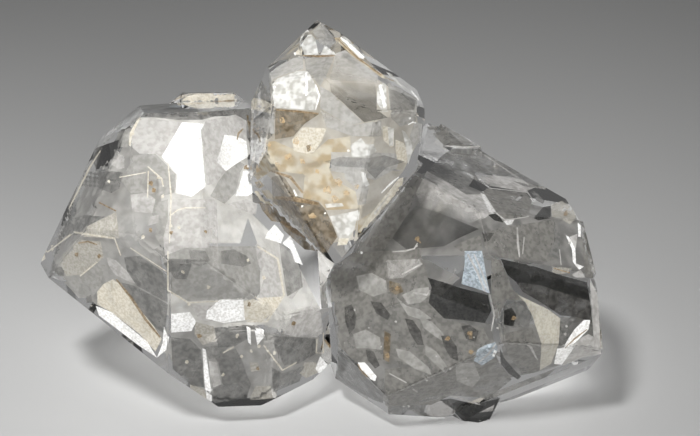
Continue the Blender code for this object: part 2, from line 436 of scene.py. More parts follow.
LEFT_CREAM = {
    "ledge": [(-11.0, 7.2), (-10.5, 7.7), (-9.8, 7.9), (-7.4, 8.0), (-7.35, 7.55), (-8.5, 7.4),
              (-10.9, 7.15)],
    "left_tip": [(-19.5, -1.9), (-18.9, -1.7), (-18.8, -2.2), (-19.4, -2.6), (-19.9, -2.95)],
    "block_front": [(-16.1, -4.7), (-15.7, -4.2), (-15.1, -3.9), (-14.7, -4.2), (-14.1, -4.9), (-13.5, -5.7),
                    (-12.5, -6.9), (-12.0, -7.7), (-12.4, -8.5), (-13.4, -7.4), (-15.2, -6.0), (-16.1, -5.5)],
    "octagon_corner": [(-6.8, -5.3), (-5.9, -5.1), (-4.3, -5.0), (-4.9, -6.0), (-5.6, -6.6), (-6.7, -6.5)],
}
LEFT_GREY = {
    "house": [(-13.8, 4.0), (-12.4, 4.1), (-11.1, 2.8), (-11.2, 1.6), (-12.0, 1.4), (-12.2, -1.0),
              (-12.6, 0.2), (-13.0, 1.6), (-14.0, 1.6), (-14.6, 2.4)],
    "wedge": [(-7.0, 3.6), (-6.7, 3.4), (-7.0, 2.9), (-7.3, 1.6), (-8.0, 0.9), (-8.9, 1.4), (-8.4, 2.3),
              (-7.9, 3.0)],
    "band": [(-12.3, 1.0), (-11.6, 1.2), (-11.6, -0.6), (-11.9, -2.0), (-12.4, -1.2)],
    "block_side": [(-17.2, -3.8), (-16.1, -2.9), (-15.6, -3.0), (-15.9, -4.2), (-16.4, -5.1),
                   (-17.3, -5.1), (-18.2, -4.1)],
    "octagon": [(-11.6, -2.0), (-9.0, -1.8), (-6.4, -1.8), (-5.7, -3.4), (-5.9, -5.0), (-8.4, -5.2),
                (-10.3, -5.3), (-11.5, -4.6)],
    "left_top": [(-13.4, 6.8), (-13.4, 6.3), (-14.0, 5.2), (-14.2, 4.5), (-15.9, 4.6)],
}

# Pale and cream sheets, partly veils and partly painted light on the faces.
pale_veil_and_painted_light = sheet_material("pale_veil_and_painted_light", (0.39, 0.38, 0.365), (0.30, 0.29, 0.275), patchy=0.3,
                            grain_scale=FILM_GRAIN)
tan_film = sheet_material("tan_film", (0.35, 0.335, 0.30), (0.26, 0.245, 0.21), patchy=0.2)
cream_veil_and_painted_light = sheet_material("cream_veil_and_painted_light", (0.56, 0.53, 0.46), (0.43, 0.39, 0.31), patchy=0.2)
grey_film = sheet_material("grey_film", (0.27, 0.265, 0.25), (0.21, 0.205, 0.19), patchy=0.35,
                           grain_scale=FILM_GRAIN)
add_sheets("left_pale_veils_and_painted_light", pale_veil_and_painted_light, LEFT_PALE.values(), PALE_DEPTH, soft=0.5)
add_sheets("left_cream_veils_and_painted_light", cream_veil_and_painted_light, LEFT_CREAM.values(), CREAM_DEPTH, soft=0.2)
add_sheets("left_tan_veils", tan_film, LEFT_TAN.values(), CREAM_DEPTH, soft=0.2)
add_sheets("left_grey_veils", grey_film, LEFT_GREY.values(), GREY_DEPTH, soft=0.5)


# The dark places of the left crystal: painted dark reflections of the room on its faces, and dark smudges.
DARK_DEPTH = 0.35
LEFT_DARK = {
    "top_strip": [(-13.2, 7.1), (-12.4, 7.35), (-11.0, 7.1), (-9.0, 7.3), (-7.1, 7.4), (-7.2, 6.7),
                  (-8.5, 6.5), (-9.5, 6.25), (-11.0, 6.25), (-13.2, 6.5)],
    "smudge_a": [(-17.0, 3.1), (-16.0, 2.9), (-15.2, 3.0), (-14.5, 2.9), (-14.7, 1.9), (-15.2, 1.6),
                 (-16.0, 1.9), (-17.1, 2.0)],
    "smudge_b": [(-15.8, 2.5), (-15.0, 2.5), (-14.9, 1.8), (-15.7, 2.0)],
    "under_triangle": [(-18.2, -0.2), (-16.9, 0.2), (-15.6, 0.1), (-16.9, -0.6), (-17.4, -1.1),
                       (-18.2, -1.1), (-18.5, -0.8)],
    "left_corner": [(-19.8, -3.05), (-18.9, -2.6), (-18.6, -2.9), (-18.2, -3.3), (-18.2, -3.7),
                    (-19.2, -3.6)],
    "block_low": [(-16.8, -5.0), (-16.5, -4.9), (-16.4, -5.4), (-16.8, -5.4)],
    "block_right_a": [(-14.4, -2.5), (-13.4, -2.4), (-11.7, -3.6), (-11.6, -5.4), (-13.6, -4.3),
                      (-14.2, -3.4)],
    "block_right_b": [(-14.6, -4.1), (-13.8, -4.3), (-11.6, -5.5), (-11.8, -7.4), (-12.4, -7.0),
                      (-13.9, -5.2)],
    "octagon_a": [(-11.9, -2.9), (-11.4, -2.6), (-10.1, -2.6), (-10.1, -3.0), (-10.4, -3.9),
                  (-11.1, -3.9), (-11.5, -3.5)],
    "octagon_b": [(-10.3, -2.0, 0.6), (-9.2, -2.1, 0.6), (-8.9, -2.7, 0.6), (-9.5, -3.1, 0.6), (-10.1, -2.9)],
    "octagon_c": [(-8.2, -2.1, 0.6), (-7.4, -2.0), (-6.6, -2.4), (-6.3, -2.9, 0.6), (-6.8, -3.1, 0.6),
                  (-8.2, -2.9, 0.6)],
    "foot_a": [(-8.6, -7.0), (-6.6, -6.9), (-6.4, -7.6), (-7.4, -8.2), (-8.4, -8.2)],
    "foot_b": [(-9.3, -8.2), (-7.6, -8.1), (-8.2, -8.7), (-9.0, -9.0)],
    "low_a": [(-11.4, -7.6), (-10.2, -7.7), (-9.5, -8.4), (-9.3, -10.8), (-10.2, -10.6), (-11.3, -9.6)],
    "low_b": [(-8.7, -8.8), (-7.3, -8.3), (-6.9, -9.0), (-6.6, -9.9), (-6.3, -10.6), (-6.6, -11.5),
              (-8.7, -11.8), (-8.7, -10.9), (-8.1, -10.6), (-8.4, -9.2)],
    "low_c": [(-5.0, -9.5), (-4.3, -9.9), (-2.9, -9.4), (-3.2, -10.4), (-4.9, -11.1)],
    "right_low": [(-4.7, -7.5), (-2.2, -7.7), (-2.1, -8.6), (-3.3, -9.3), (-4.2, -9.4), (-4.9, -8.0)],
    "right_top": [(-4.5, -1.6, 0.7), (-3.3, -2.2, 0.7), (-3.0, -4.4, 0.7), (-4.0, -5.0, 0.7),
                  (-4.4, -2.6, 0.7)],
}

# Dark sheets that paint dark reflections of the room, and also make dark smudges and the cores of clots.
dark_film_and_reflection = sheet_material("dark_film_and_reflection", (0.14, 0.137, 0.13), (0.09, 0.09, 0.085), patchy=0.35,
                           grain_scale=FILM_GRAIN)
add_sheets("left_dark_reflections_and_smudges", dark_film_and_reflection, LEFT_DARK.values(), DARK_DEPTH, soft=0.4)


# The wide clouds of the left crystal, deeper inside. They soften what lies behind the veils, and paint its
# light and shade: painted light above the middle, painted shade at the foot and toward the left point.
CLOUD_DEPTH = 0.9
CLOUD_GRAIN = 900.0
LEFT_CLOUD_PAINTED_LIGHT = [
    [(-13.4, 6.4), (-7.2, 6.5), (-6.4, 4.8), (-6.2, 1.0), (-7.0, -1.6), (-11.8, -1.6), (-12.2, 1.0),
     (-12.2, 3.8), (-14.0, 4.6)],
    [(-6.8, 0.8), (-5.2, -0.8), (-3.5, -2.6), (-2.0, -5.6), (-1.8, -7.4), (-3.9, -7.3), (-5.5, -6.8),
     (-9.0, -7.0), (-11.4, -6.2), (-11.4, -4.8), (-8.4, -5.2), (-5.8, -5.0), (-5.6, -2.4)],
]
LEFT_CLOUD_PAINTED_SHADE = [
    [(-19.2, -2.0), (-17.2, 2.2), (-16.0, 4.4), (-14.0, 4.6), (-12.4, 3.8), (-12.2, -1.0), (-11.7, -5.5),
     (-12.0, -8.2), (-16.2, -5.5), (-18.4, -3.7)],
    [(-12.0, -8.4), (-11.4, -7.0), (-9.4, -6.9), (-4.2, -7.4), (-2.0, -7.6), (-1.7, -9.3), (-3.0, -10.1),
     (-6.2, -11.4), (-9.0, -11.7)],
    [(-11.7, -1.8), (-5.8, -1.8), (-5.7, -5.0), (-8.4, -5.4), (-11.6, -4.8)],
]

# A lit and a shaded copy of one cloud: painted light above, painted shade below.
cloud_painted_light = sheet_material("cloud_painted_light", (0.48, 0.47, 0.445), (0.38, 0.37, 0.345), patchy=0.25,
                              grain_scale=CLOUD_GRAIN)
cloud_painted_shade = sheet_material("cloud_painted_shade", (0.26, 0.255, 0.24), (0.18, 0.175, 0.165), patchy=0.25,
                           grain_scale=CLOUD_GRAIN)
add_sheets("left_clouds_painted_light", cloud_painted_light, LEFT_CLOUD_PAINTED_LIGHT, CLOUD_DEPTH, soft=0.8)
add_sheets("left_clouds_painted_shade", cloud_painted_shade, LEFT_CLOUD_PAINTED_SHADE, CLOUD_DEPTH, soft=0.8)


# The fine cracks and specks of the left crystal. Healed cracks, and painted highlights along some edges,
# show as bright threads. The white specks are painted glints, and the brown ones are grains of clay.
random.seed(11)
THREAD_DEPTH = 0.15
THREAD_END = 0.3
SPECK_CORNERS = 5
SPECK_TURN = 20
SPECK_REACH = (0.6, 1.3)
LEFT_THREADS = [
    ([(-13.35, 7.25), (-13.3, 6.6)], 0.15),
    ([(-13.4, 6.4), (-13.95, 5.4), (-14.05, 4.6)], 0.2),
    ([(-12.85, 3.0), (-12.9, 1.3)], 0.12),
    ([(-12.9, 3.3), (-12.0, 2.5), (-11.9, 2.0)], 0.12),
    ([(-14.7, 2.6), (-13.0, 2.9)], 0.1),
    ([(-16.1, -2.8), (-17.2, -3.7)], 0.14),
    ([(-14.0, -1.9), (-11.7, -3.4)], 0.1),
    ([(-11.5, 0.1), (-11.0, 0.5), (-10.5, 0.65), (-9.2, 0.65)], 0.08),
    ([(-11.6, -2.1), (-11.6, -4.6), (-10.3, -5.4), (-8.4, -5.3)], 0.1),
    ([(-5.9, -1.8), (-4.6, -2.6), (-4.2, -4.9), (-5.3, -6.6), (-6.6, -6.6)], 0.14),
    ([(-5.5, -8.1), (-4.3, -9.7), (-3.4, -9.2)], 0.12),
    ([(-2.1, -7.7), (-2.15, -8.6), (-1.7, -8.6), (-1.7, -7.3)], 0.1),
    ([(-8.1, -8.6), (-7.4, -8.2)], 0.15),
    ([(-11.6, 3.6), (-11.4, 1.4), (-11.5, -1.6)], 0.1),
    ([(-17.9, 0.6), (-16.6, 3.2), (-15.9, 4.3)], 0.12),
    ([(-19.3, -2.2), (-17.6, -0.9), (-15.0, -1.3), (-14.6, -2.4)], 0.12),
]
LEFT_RUST_THREADS = [
    ([(-14.9, -3.9), (-14.0, -5.0), (-13.0, -6.5), (-12.1, -7.6)], 0.16),
    ([(-10.9, 7.2), (-9.2, 7.35), (-7.4, 7.5)], 0.1),
    ([(-7.2, 5.0), (-7.1, 5.4), (-6.8, 5.7)], 0.14),
    ([(-17.3, -1.6), (-16.7, -1.5), (-16.1, -1.7)], 0.12),
    ([(-16.0, 1.0), (-14.9, 0.45)], 0.15),
]
# Painted glints.
LEFT_PAINTED_GLINTS = [
    (-13.85, 5.4), (-11.95, 1.4), (-15.35, 2.35), (-13.2, -1.2), (-10.9, -0.6), (-11.4, -0.5),
    (-6.3, -8.5), (-5.8, -8.2), (-7.2, -7.5), (-6.9, -8.8), (-10.65, -3.45), (-10.25, -5.5), (-5.5, -3.8),
    (-6.5, -2.7), (-12.2, 2.6), (-9.0, -4.4), (-7.3, 7.45), (-6.9, 7.45), (-4.8, -8.6), (-10.4, -9.2), (-8.1, -10.0),
]
LEFT_RUST_SPECKS = [
    (-12.7, 2.2), (-12.5, 1.8), (-12.7, -0.75), (-11.4, -0.9), (-9.2, -0.85), (-16.0, -2.45), (-17.4, -2.3),
    (-6.4, -5.5), (-3.6, -6.7), (-6.6, 3.2), (-5.9, -9.6), (-9.6, -7.5),
]


def thread(places, width):
    """The outline of a fine streak along a row of places, narrower at its ends."""
    one_side, other_side = [], []
    for number, place in enumerate(places):
        before = Vector(places[max(number - 1, 0)])
        after = Vector(places[min(number + 1, len(places) - 1)])
        way = (after - before).normalized()
        at_end = number in (0, len(places) - 1)
        half = width * (THREAD_END if at_end else 0.5)
        aside = Vector((-way.y, way.x)) * half
        one_side.append(tuple(Vector(place) + aside))
        other_side.append(tuple(Vector(place) - aside))
    return one_side + other_side[::-1]


def speck(place, size):
    """The outline of a small uneven speck, used for grains and for painted glints."""
    corners = []
    for number in range(SPECK_CORNERS):
        turn = math.radians(360 / SPECK_CORNERS * number + random.uniform(-SPECK_TURN, SPECK_TURN))
        reach = size * random.uniform(*SPECK_REACH)
        corners.append((place[0] + reach * math.cos(turn), place[1] + reach * math.sin(turn)))
    return corners


left_threads_and_glints = [thread(places, width) for places, width in LEFT_THREADS]
left_threads_and_glints += [speck(place, size=0.13) for place in LEFT_PAINTED_GLINTS]
left_fine_rust = [thread(places, width) for places, width in LEFT_RUST_THREADS]
left_fine_rust += [speck(place, size=0.16) for place in LEFT_RUST_SPECKS]
rust = sheet_material("rust", (0.26, 0.19, 0.11), (0.12, 0.08, 0.04), patchy=0.2)
add_sheets("left_bright_threads_and_glints", cream_veil_and_painted_light, left_threads_and_glints, THREAD_DEPTH, soft=0.05)
add_sheets("left_rust_threads", rust, left_fine_rust, THREAD_DEPTH, soft=0.05)


# The stain, veils and painted highlights in the top crystal. It is the cloudiest of the three: tan iron
# stain fills its lower half, with brown clots on the left and painted bright reflections over them. Painted
# highlights lie on its upper faces and edges, and a faint dark film dims its smooth face.
STAIN_DEPTH = 0.42
TOP_DARK_DEPTH = 0.33
DIM_FACE_DEPTH = 0.28
CLOT_DEPTH = 0.27
# Painted highlights and reflections on the top crystal's faces and edges, and over its clots.
TOP_PAINTED_HIGHLIGHTS = {
    "tip_left": [(-3.0, 12.0), (-2.7, 12.0), (-2.2, 11.4), (-2.0, 10.4), (-2.9, 10.4), (-3.2, 11.2)],
    "tip_right": [(-1.6, 11.0), (-1.3, 10.8), (-0.9, 10.4), (-1.9, 10.4)],
    "big_quad": [(-5.05, 8.4), (-4.6, 8.9), (-3.4, 9.35), (-2.7, 9.35), (-2.35, 8.8), (-1.95, 7.8),
                 (-2.2, 6.85), (-4.8, 7.05)],
    "edge_high": [(-0.5, 11.6), (-0.2, 11.5), (0.6, 10.6), (0.9, 10.1), (0.6, 10.2), (-0.1, 10.9)],
    "edge_low": [(2.3, 9.3), (2.6, 9.2), (3.4, 8.4), (3.9, 8.0), (3.0, 8.5)],
    "sliver": [(1.75, 8.3), (2.1, 8.6), (2.3, 8.5), (2.35, 6.9), (2.0, 6.9), (1.7, 7.4)],
    "small_quad": [(-5.9, 5.2), (-5.4, 5.2), (-5.3, 4.5), (-5.9, 4.5)],
    "streaks": [(0.0, 4.6), (0.7, 5.1), (1.0, 4.7), (1.5, 4.7), (1.7, 4.3), (1.2, 3.9), (0.1, 3.9)],
    "block_core": [(2.4, 5.8), (2.8, 5.7), (2.75, 4.6), (2.5, 4.6)],
    "right_streak": [(3.3, 5.6), (3.5, 5.5), (3.9, 4.9), (4.0, 4.3), (3.7, 3.4), (3.6, 4.2), (3.5, 4.8)],
    "middle_streak": [(0.6, 3.0), (0.9, 2.9), (1.25, 2.1), (1.0, 2.0)],
    "triangle": [(-1.3, 0.1), (0.6, 0.5), (0.3, -0.6), (0.0, -1.3), (-0.7, -1.3), (-0.9, -0.7)],
    "bar": [(-1.6, 0.9), (-0.5, 0.95), (-0.4, 0.75), (-1.5, 0.65)],
    "band_core": [(2.8, 1.9), (3.1, 2.3), (2.1, 0.9), (1.6, 0.2), (1.5, 0.3)],
}
# The band is painted light on a narrow bevel face.
TOP_CREAM = {
    "patch": [(-3.0, 5.8), (-1.5, 5.7), (-1.8, 4.9), (-2.3, 4.2), (-2.8, 4.1), (-3.6, 4.3), (-3.7, 5.0)],
    "block": [(2.1, 5.9), (2.8, 5.7), (2.8, 4.6), (2.6, 4.5), (2.1, 5.0)],
    "right": [(2.9, 5.0), (3.4, 4.8), (3.7, 4.2), (3.6, 3.5), (3.0, 3.7), (2.9, 4.4)],
    "band": [(3.4, 2.6), (3.1, 2.5), (1.8, 0.9), (0.5, -0.9), (1.0, -0.8), (2.3, 0.5), (3.3, 1.9)],
    "tip": [(-0.7, -1.2), (0.0, -1.1), (-0.2, -1.7), (-0.8, -1.75)],
    "tip_foot": [(-3.5, 10.4), (-3.3, 10.9), (-3.0, 10.7), (-3.1, 10.4)],
}
TOP_PALE = {
    "smooth_face": [(-0.9, 10.5, 0.9), (-0.3, 10.7), (1.8, 9.1), (1.7, 8.6, 0.3), (-1.3, 8.8, 0.2)],
    "diagonal": [(-1.9, 8.4), (-1.2, 8.0), (0.8, 6.1), (0.0, 5.9), (-1.9, 7.0)],
    "left_shoulder": [(-5.0, 9.3), (-4.5, 9.7), (-3.6, 10.2), (-3.0, 10.3), (-3.0, 9.5), (-4.6, 9.0),
                      (-5.3, 8.5)],
    "left_low": [(-6.0, 6.2), (-4.9, 6.8), (-4.8, 5.4), (-5.3, 5.3)],
    "under_diagonal": [(-1.9, 6.9, 0.4), (0.0, 5.9), (2.0, 6.2), (2.0, 5.2, 0.5), (0.2, 5.2), (-1.5, 5.8)],
    "right_rim": [(4.1, 6.1), (4.6, 6.0), (4.5, 4.9), (4.0, 4.4), (3.8, 5.2)],
    "behind_wedge": [(-1.2, 4.2), (0.9, 4.2), (3.2, 4.1), (3.0, 3.2), (1.6, 2.4), (0.6, 2.7), (-1.2, 3.0)],
    "middle": [(-0.4, 3.1), (0.7, 3.0), (1.2, 1.9), (1.0, 0.9), (0.5, 0.8), (0.3, 2.0), (-0.3, 2.5)],
}
TOP_TAN = {
    "upper": [(-6.3, 4.8), (-4.8, 4.9), (-3.6, 4.4), (-2.4, 4.1), (-1.4, 5.0), (0.0, 5.2), (0.1, 4.0),
              (-1.2, 3.8), (-1.4, 2.8), (-2.0, 2.0), (-3.0, 2.8), (-5.0, 3.0), (-5.9, 2.4), (-6.3, 3.0)],
    "lower": [(-2.9, 2.6), (-1.4, 3.3), (-1.0, 2.4), (0.9, 1.4), (0.7, 0.6), (-1.5, 0.5), (-2.0, 1.1),
              (-3.0, 1.2)],
    "left_tongue": [(-6.1, 1.7), (-5.2, 1.8), (-4.6, 1.0), (-4.7, 0.6), (-5.7, 1.1)],
    "edge_line": [(-1.1, 11.5), (-0.7, 11.5), (0.6, 10.2), (2.1, 9.1), (3.1, 8.6), (2.0, 8.95), (0.4, 10.1)],
    "band_foot": [(0.5, -0.2), (1.3, 0.3), (1.5, -0.3), (0.8, -1.0), (0.5, -0.9)],
}
TOP_BROWN = {
    "under_quad": [(-4.75, 6.95), (-2.4, 6.75), (-2.0, 6.6), (-2.9, 6.0), (-3.6, 5.2), (-4.8, 5.0)],
    "left_wedge": [(-6.6, 6.6), (-6.3, 6.4), (-5.4, 5.3), (-5.8, 5.0), (-6.4, 5.2)],
    "clot": [(-5.0, 2.6, 0.5), (-4.3, 2.8, 0.6), (-3.4, 1.4), (-2.0, 1.0), (-1.6, 0.6), (-1.2, -0.2),
             (-0.8, -1.2), (-1.5, -2.2), (-2.9, -2.0), (-4.2, -0.8), (-4.9, 0.5)],
    "left_rim": [(-5.8, 1.0), (-5.2, 0.9), (-4.3, -0.3), (-5.0, -0.2), (-5.6, 0.5)],
    "spot_a": [(-6.1, 2.3), (-5.8, 2.3), (-5.5, 2.0), (-5.9, 1.9)],
    "spot_b": [(-2.8, 4.6), (-2.5, 4.7), (-2.5, 4.3), (-2.7, 4.2)],
}
TOP_GREY = {
    "under_tip": [(-2.9, 10.2), (-1.0, 10.3), (-1.4, 9.3), (-1.9, 8.4), (-2.5, 9.1), (-2.8, 9.4)],
    "left_side": [(-6.1, 8.2), (-5.1, 8.4), (-5.0, 7.0), (-4.8, 5.4), (-5.3, 5.3), (-6.0, 6.0), (-6.4, 6.9)],
    "right_side": [(2.4, 8.6), (3.2, 8.3), (4.3, 7.6), (4.2, 6.2), (3.2, 5.8), (2.6, 6.4)],
    "tip": [(-2.4, 11.9), (-1.8, 12.4), (-1.0, 11.5), (-1.1, 10.9), (-1.9, 11.1)],
}
# A faint dark film over the smooth face and the right side.
TOP_DIM_FACES = {
    "smooth_face": [(-1.3, 8.6, 0.1), (1.6, 8.6, 0.1), (1.7, 7.6, 0.6), (1.7, 6.9, 0.7), (2.4, 6.4, 0.7),
                    (0.9, 6.1, 0.7), (-0.5, 7.4, 0.7), (-1.2, 8.0, 0.5)],
    "right_side": [(2.5, 8.2, 0.3), (3.0, 8.1, 0.5), (4.2, 7.5, 0.5), (4.1, 6.9, 0.5), (2.6, 6.7, 0.4)],
}
# The wedge is a painted dark reflection.
TOP_DARK = {
    "wedge": [(-1.6, 3.6, 0.3), (-0.6, 3.9, 0.5), (1.0, 3.8, 0.5), (2.2, 4.0, 0.5), (3.5, 3.6, 0.7),
              (2.3, 3.2, 0.6), (1.6, 2.5, 0.6), (0.9, 3.2, 0.5), (-0.9, 3.3, 0.4)],
    "clot_core": [(-2.7, 0.4), (-2.3, 0.5), (-2.1, -0.2), (-2.3, -0.6), (-2.6, -0.3)],
    "clot_right": [(-1.7, -0.1), (-1.3, -0.2), (-1.0, -0.9), (-1.5, -1.2), (-1.9, -0.8)],
    "clot_top": [(-4.7, 1.4), (-3.6, 1.2), (-2.9, 0.9), (-3.4, 0.5), (-4.5, 0.7)],
}

tan_stain = sheet_material("tan_stain", (0.42, 0.385, 0.31), (0.30, 0.24, 0.15), patchy=0.3,
                           grain_scale=1400.0)
brown_stain = sheet_material("brown_stain", (0.16, 0.13, 0.09), (0.08, 0.06, 0.035), patchy=0.35,
                             grain_scale=3000.0)
# The top crystal's painted highlights.
painted_highlight = sheet_material("painted_highlight", (0.56, 0.56, 0.545), (0.34, 0.335, 0.31), patchy=0.2,
                              grain_scale=2600.0)
dim_film = sheet_material("dim_film", (0.045, 0.043, 0.04), (0.03, 0.03, 0.028), patchy=0.1, grain_scale=2600.0)
top_veil = sheet_material("top_veil", (0.34, 0.335, 0.32), (0.27, 0.265, 0.25), patchy=0.3,
                          grain_scale=FILM_GRAIN)
add_sheets("top_dim_faces", dim_film, TOP_DIM_FACES.values(), DIM_FACE_DEPTH, soft=0.35)
add_sheets("top_painted_highlights", painted_highlight, TOP_PAINTED_HIGHLIGHTS.values(), HIGHLIGHT_DEPTH, soft=0.12)
add_sheets("top_cream_veils_and_painted_light", cream_veil_and_painted_light, TOP_CREAM.values(), CREAM_DEPTH, soft=0.25)
add_sheets("top_pale_veils", top_veil, TOP_PALE.values(), PALE_DEPTH, soft=0.4)
add_sheets("top_tan_stain", tan_stain, TOP_TAN.values(), STAIN_DEPTH, soft=0.4)
add_sheets("top_brown_clots", brown_stain, TOP_BROWN.values(), CLOT_DEPTH, soft=0.3)
add_sheets("top_grey_veils", grey_film, TOP_GREY.values(), GREY_DEPTH, soft=0.4)
add_sheets("top_dark_reflections_and_clots", dark_film_and_reflection, TOP_DARK.values(), TOP_DARK_DEPTH, soft=0.3)


# The clouds, cracks and specks of the top crystal. Rust clings to its cracks and peppers the tan stain.
# Its white specks are painted glints, and some bright threads are painted highlights along edges.
TOP_CLOUD = [
    [(-5.6, 8.2), (-3.4, 10.1), (-0.6, 10.4), (1.8, 8.8), (4.2, 7.2), (4.4, 5.0), (3.4, 3.0), (0.4, 3.6),
     (-6.2, 3.6), (-6.0, 6.4)],
    [(-6.0, 3.4), (3.4, 3.0), (1.6, 0.6), (0.2, -1.4), (-1.2, -1.6), (-3.4, 1.0)],
]
TOP_THREADS = [
    ([(-0.6, 11.5), (0.2, 10.8), (0.9, 10.2)], 0.2),
    ([(3.9, 8.1), (4.4, 7.5)], 0.15),
    ([(3.7, 5.95), (4.0, 6.1), (4.2, 6.05)], 0.1),
    ([(-2.8, 9.3), (-2.75, 8.5), (-2.8, 7.8)], 0.15),
    ([(-2.2, 8.5), (-1.95, 7.8), (-2.2, 6.9)], 0.12),
    ([(-3.6, 1.8), (-3.4, 1.4)], 0.2),
    ([(1.9, 8.5), (2.1, 7.7), (2.2, 7.0)], 0.25),
    ([(2.0, 1.6), (2.6, 2.2), (3.1, 2.6)], 0.12),
]
TOP_RUST_THREADS = [
    ([(-3.0, 10.35), (-2.0, 10.3), (-1.0, 10.35)], 0.14),
    ([(-4.8, 1.3), (-3.6, 1.2), (-2.0, 0.9)], 0.3),
    ([(-4.4, -0.2), (-3.6, -0.8), (-2.6, -1.3)], 0.3),
    ([(-5.0, 3.0), (-3.8, 2.6), (-3.0, 1.6)], 0.2),
    ([(-4.7, 6.9), (-3.4, 6.8), (-2.0, 6.65)], 0.14),
    ([(-0.8, 11.4), (0.5, 10.2), (2.0, 9.1)], 0.1),
]
# Painted glints.
TOP_PAINTED_GLINTS = [
    (-4.8, 8.35), (3.8, 6.35), (-0.1, 4.3), (-3.05, 0.75), (-1.6, 0.3), (-6.5, 3.3), (0.75, -2.2),
    (-3.5, 10.45),
]
TOP_RUST_SPECKS = [
    (-2.65, 4.5), (-5.6, 4.2), (-5.8, 3.1), (-0.8, 2.3), (-0.2, 1.6), (-1.4, 1.8), (-5.8, 2.1), (-4.3, 6.2),
    (-2.4, 0.1), (-3.0, 3.6), (-4.0, 3.9), (-4.6, 3.4), (-2.1, 3.0), (0.4, 2.0), (-1.0, 1.2), (-5.2, 4.7), (-3.4, 4.9),
]

tan_cloud = sheet_material("tan_cloud", (0.36, 0.34, 0.30), (0.28, 0.26, 0.22), patchy=0.2,
                           grain_scale=CLOUD_GRAIN)
orange_stain = sheet_material("orange_stain", (0.42, 0.33, 0.21), (0.34, 0.24, 0.13), patchy=0.6,
                              patch_scale=2500.0)
top_threads_and_glints = [thread(places, width) for places, width in TOP_THREADS]
top_threads_and_glints += [speck(place, size=random.uniform(0.06, 0.11)) for place in TOP_PAINTED_GLINTS]
top_fine_rust = [thread(places, width) for places, width in TOP_RUST_THREADS]
top_blotches = [speck(place, size=random.uniform(0.15, 0.3)) for place in TOP_RUST_SPECKS]
add_sheets("top_blotches", orange_stain, top_blotches, CLOT_DEPTH, soft=0.4)
add_sheets("top_clouds", tan_cloud, TOP_CLOUD, CLOUD_DEPTH, soft=0.8)
add_sheets("top_bright_threads_and_glints", frost_and_painted_highlights, top_threads_and_glints, THREAD_DEPTH, soft=0.05)
add_sheets("top_rust_threads", rust, top_fine_rust, THREAD_DEPTH, soft=0.05)


# The veils, painted highlights and painted dark reflections in the right crystal. A fan of bluish frost
# stands in its middle between two faces painted black, as they reflect the dark room, and its lower left is
# clouded grey, with small pale and dark lenses in the cloud.
BEIGE_DEPTH = 0.33
SHADE_DEPTH = 0.32
BLUE_DEPTH = 0.31
BLACK_REFLECTION_DEPTH = 0.28
SPOT_DEPTH = 0.23
# Painted highlights and glints of the lamp on the right crystal's faces and lower edges.
RIGHT_PAINTED_HIGHLIGHTS = {
    "edge_glow": [(8.3, 1.6, 0.5), (8.6, 1.5, 0.5), (9.3, 0.4, 0.6), (8.9, 0.3, 0.5)],
    "inset_foot": [(9.8, -0.2, 0.6), (10.5, -0.05, 0.6), (10.3, -0.4, 0.6), (10.0, -0.45, 0.6)],
    "sliver_high": [(14.5, 0.0), (14.7, -0.2), (14.7, -1.2), (14.55, -1.2)],
    "sliver_low": [(13.75, -1.1), (13.95, -1.2), (14.35, -1.9), (14.4, -2.9), (14.9, -3.1), (14.6, -3.3),
                   (14.2, -2.8), (14.15, -2.0)],
    "highlight": [(13.9, -7.7), (14.3, -7.1), (14.9, -6.5), (15.3, -6.5), (15.2, -7.1), (14.5, -7.8),
                  (13.9, -8.3), (13.6, -8.3)],
    "corner": [(13.0, -9.3), (13.2, -8.3), (13.8, -8.3), (14.4, -8.1), (13.5, -9.35)],
    "lamp_glint": [(0.5, -9.2), (0.95, -9.2), (1.7, -10.1), (1.6, -10.4), (1.1, -10.2), (0.7, -9.8)],
    "fan_glint": [(9.05, -8.8), (9.2, -8.4), (9.35, -8.5), (9.2, -8.85)],
}
# Pale veils, and painted light, as on the bright corner.
RIGHT_PALE = {
    "upper_band": [(7.8, 2.8, 0.2), (9.3, 2.7), (10.4, 2.6), (11.9, 2.0), (11.2, 1.7), (9.8, 1.9),
                   (8.6, 2.1, 0.6), (8.0, 2.4, 0.3)],
    "left_face": [(4.9, 3.0), (6.0, 2.4), (7.4, 1.5), (8.5, 1.5), (9.2, 0.4), (8.6, 0.0, 0.7),
                  (7.6, -0.3, 0.2), (5.8, 0.4, 0.1), (4.5, 0.8, 0.1), (4.2, 1.6, 0.5)],
    "sliver_side": [(14.0, -1.2), (14.5, -1.0), (14.4, -1.9), (14.2, -1.9)],
    "right_foot": [(14.1, -3.6), (14.7, -3.3), (15.0, -3.8), (14.4, -3.8)],
    "far_right": [(15.3, -3.9), (15.8, -4.9), (16.0, -8.7), (15.6, -8.6), (15.4, -6.0)],
    "corner": [(13.2, -8.4), (14.3, -7.8), (15.2, -7.4), (15.9, -7.8), (15.9, -8.7), (14.8, -8.9),
               (13.6, -9.4)],
    "streak_a": [(2.3, -2.7, 0.5), (4.4, -2.6, 0.5), (4.6, -3.0, 0.5), (3.4, -3.8, 0.5), (2.5, -3.9, 0.5)],
    "streak_d": [(11.3, -8.0), (11.6, -8.2), (12.0, -9.1), (11.8, -8.9)],
    "tip_light": [(8.2, -12.4), (9.2, -11.9), (9.1, -12.3)],
}
